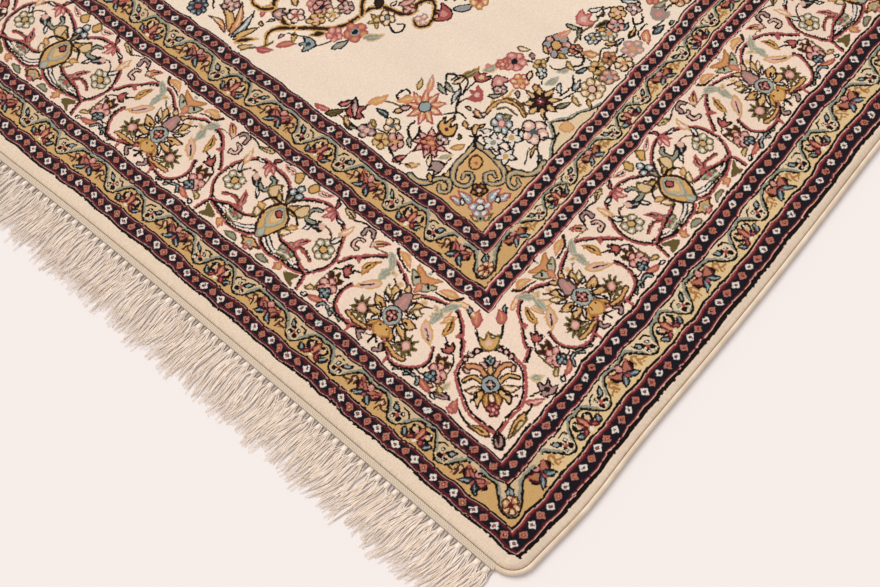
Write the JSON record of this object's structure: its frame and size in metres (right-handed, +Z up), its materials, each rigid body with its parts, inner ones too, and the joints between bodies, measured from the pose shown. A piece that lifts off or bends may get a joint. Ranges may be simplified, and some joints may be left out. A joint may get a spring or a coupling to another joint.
{
  "type": "kashmir rug",
  "caption": "Flat hand-knotted pile rug with overcast sides and knotted tassel fringe, laid on a floor.",
  "frame": {"origin": "on the floor under the middle of the rug", "axes": "+X across the rug, +Y along its length, +Z up out of the pile"},
  "size_m": [1.5354, 2.46, 0.007],
  "materials": {
    "wool_pile": "clipped wool pile with a knotted floral pattern",
    "binding_yarn": "cream wool yarn wound over a cord",
    "warp_cotton": "undyed plied cotton"
  },
  "bodies": {
    "root": {"knotted_pile": "wool_pile", "selvedge_right": "binding_yarn", "selvedge_left": "binding_yarn", "fringe_front": "warp_cotton", "fringe_back": "warp_cotton"}
  },
  "joints": []
}
